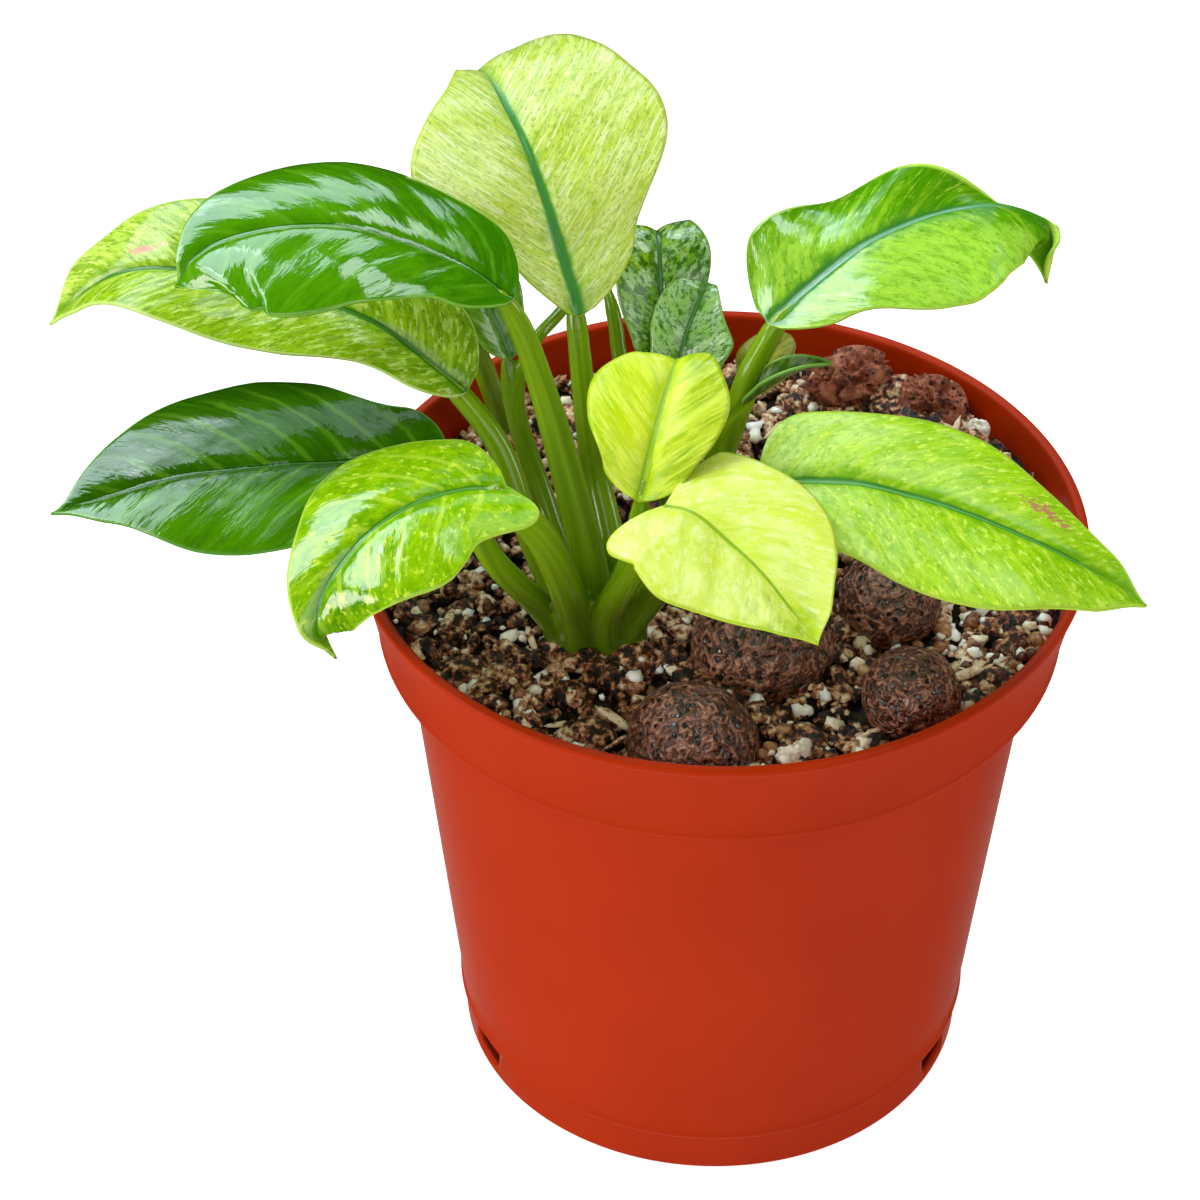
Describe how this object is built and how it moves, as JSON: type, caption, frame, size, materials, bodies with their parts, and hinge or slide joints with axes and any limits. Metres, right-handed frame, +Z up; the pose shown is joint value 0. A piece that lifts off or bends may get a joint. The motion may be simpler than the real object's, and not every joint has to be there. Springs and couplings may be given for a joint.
{
  "type": "potted aroid house plant",
  "caption": "Marbled green and cream aroid with broad arching leaves in a round orange-red nursery pot of bark mix, clay balls and lava rock.",
  "frame": {"origin": "centre of the flat underside of the pot", "axes": "+Z up, +X to the right of the front view, -Y toward the front"},
  "size_m": [0.1585, 0.108, 0.1518],
  "materials": {
    "pot": "satin moulded polypropylene",
    "soil": "rough bark, peat and grit",
    "clay": "fired clay, pitted",
    "lava": "porous lava rock",
    "perlite": "expanded perlite",
    "stem": "living petiole, satin",
    "leaf_pale": "living leaf, pale with green flecks",
    "leaf_green": "living leaf, deep green and glossy",
    "leaf_flecked": "living leaf, flecked green",
    "leaf_dark": "living leaf, dark green and glossy",
    "leaf_mottled": "living leaf, green with yellow mottling",
    "leaf_light": "living leaf, light base and greener tip",
    "leaf_inner": "living leaf, dark green with a pale sheen",
    "leaf_silver": "living leaf, pale with dark flecks",
    "leaf_lime": "living leaf, plain yellow green",
    "leaf_cream": "living leaf, cream yellow",
    "leaf_streaked": "living leaf, green with cream streaks",
    "leaf_old": "withering leaf, olive yellow",
    "leaf_rolled": "young rolled leaf, dark green",
    "leaf_hidden": "living leaf, mid green"
  },
  "bodies": {
    "root": {"pot": "pot", "soil": "soil", "clay_ball_front": "clay", "clay_ball_middle": "clay", "clay_ball_back": "clay", "clay_ball_right": "clay", "lava_chunk_left": "lava", "lava_chunk_right": "lava", "perlite_back": "perlite", "perlite_front": "perlite", "leaf_back_tall": "leaf_pale", "leaf_left_upper": "leaf_green", "leaf_left_long": "leaf_flecked", "leaf_left_lower": "leaf_dark", "leaf_front_left": "leaf_mottled", "leaf_right_upper": "leaf_light", "leaf_inner_left": "leaf_inner", "leaf_inner_right": "leaf_silver", "leaf_centre": "leaf_lime", "leaf_front": "leaf_cream", "leaf_right_lower": "leaf_streaked", "leaf_withered": "leaf_old", "leaf_rolled": "leaf_rolled", "leaf_hidden_left": "leaf_hidden", "leaf_hidden_far": "leaf_hidden", "leaf_hidden_tall": "leaf_hidden", "leaf_hidden_mid": "leaf_hidden", "shoot_main": "stem", "shoot_back": "stem", "shoot_far": "stem"}
  },
  "joints": []
}
